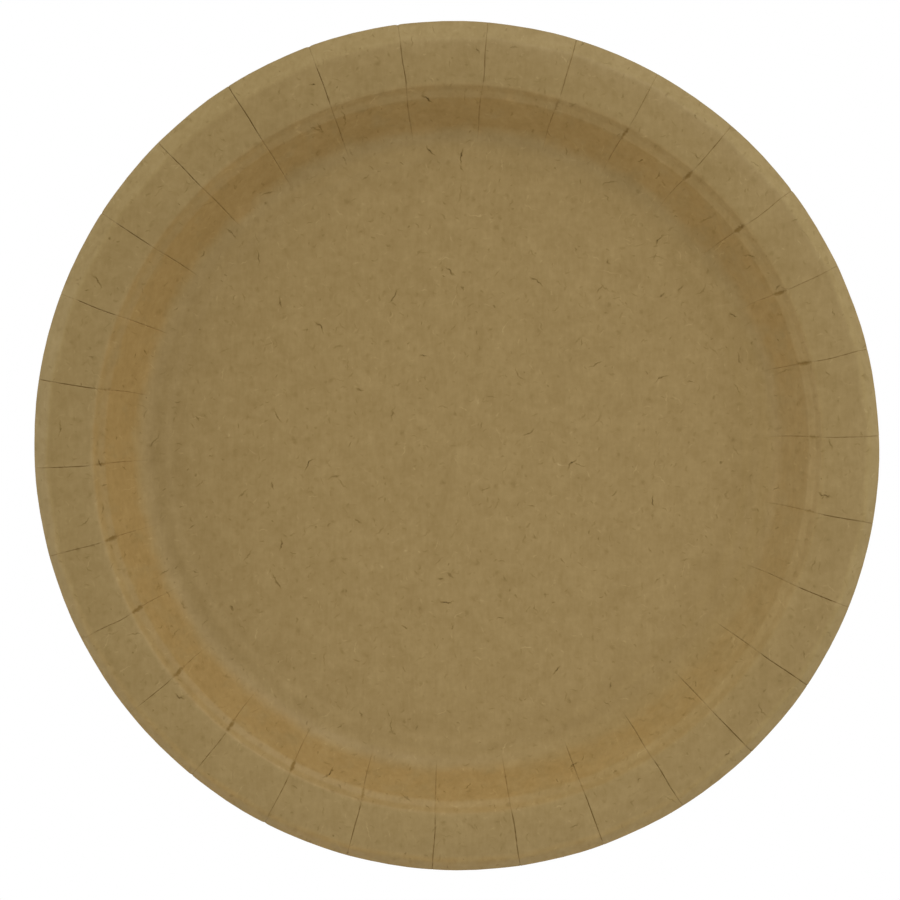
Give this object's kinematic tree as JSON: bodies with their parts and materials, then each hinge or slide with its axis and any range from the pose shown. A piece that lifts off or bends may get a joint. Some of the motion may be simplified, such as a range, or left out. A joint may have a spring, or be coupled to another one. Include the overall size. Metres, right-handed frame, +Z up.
{
  "type": "paper plate",
  "caption": "Round pressed kraft-board plate with a flat base, sloped wall, stepped and radially scored rim and turned-down lip, for serving food once.",
  "frame": {"origin": "centre of the flat panel's underside, on the plane the plate rests on", "axes": "+Z up along the plate's axis, out of its mouth; +X to the right and +Y to the top of the picture"},
  "size_m": [0.23, 0.23, 0.015],
  "materials": {
    "kraft_board": "uncoated matt brown kraft"
  },
  "bodies": {
    "root": {"plate": "kraft_board"}
  },
  "joints": []
}
